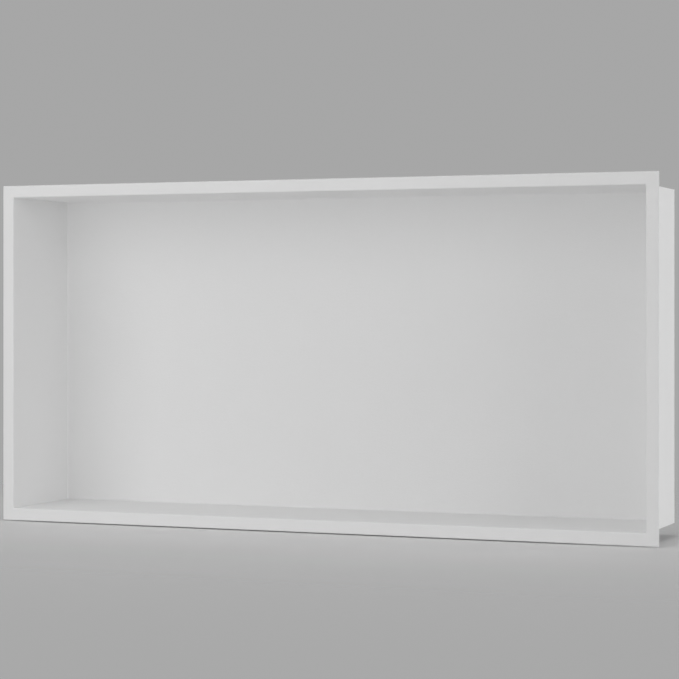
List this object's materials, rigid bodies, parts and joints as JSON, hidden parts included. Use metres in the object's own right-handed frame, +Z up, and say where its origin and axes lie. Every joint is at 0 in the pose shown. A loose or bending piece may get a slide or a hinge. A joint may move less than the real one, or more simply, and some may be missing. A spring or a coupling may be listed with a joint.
{
  "type": "shower niche",
  "caption": "Recessed rectangular wall niche folded from sheet steel: an open-fronted pan for toiletries, with a hemmed flange that covers the edge of the cut-out in the wall.",
  "frame": {"origin": "centre of the flange's seat on the wall, in the plane of the hem's back face", "axes": "+X to the right as seen from the room, +Y into the wall, +Z up"},
  "size_m": [0.6, 0.1, 0.3],
  "materials": {
    "powder_coat": "matte white powder coat with a very fine texture"
  },
  "bodies": {
    "root": {"niche_body": "powder_coat"}
  },
  "joints": []
}
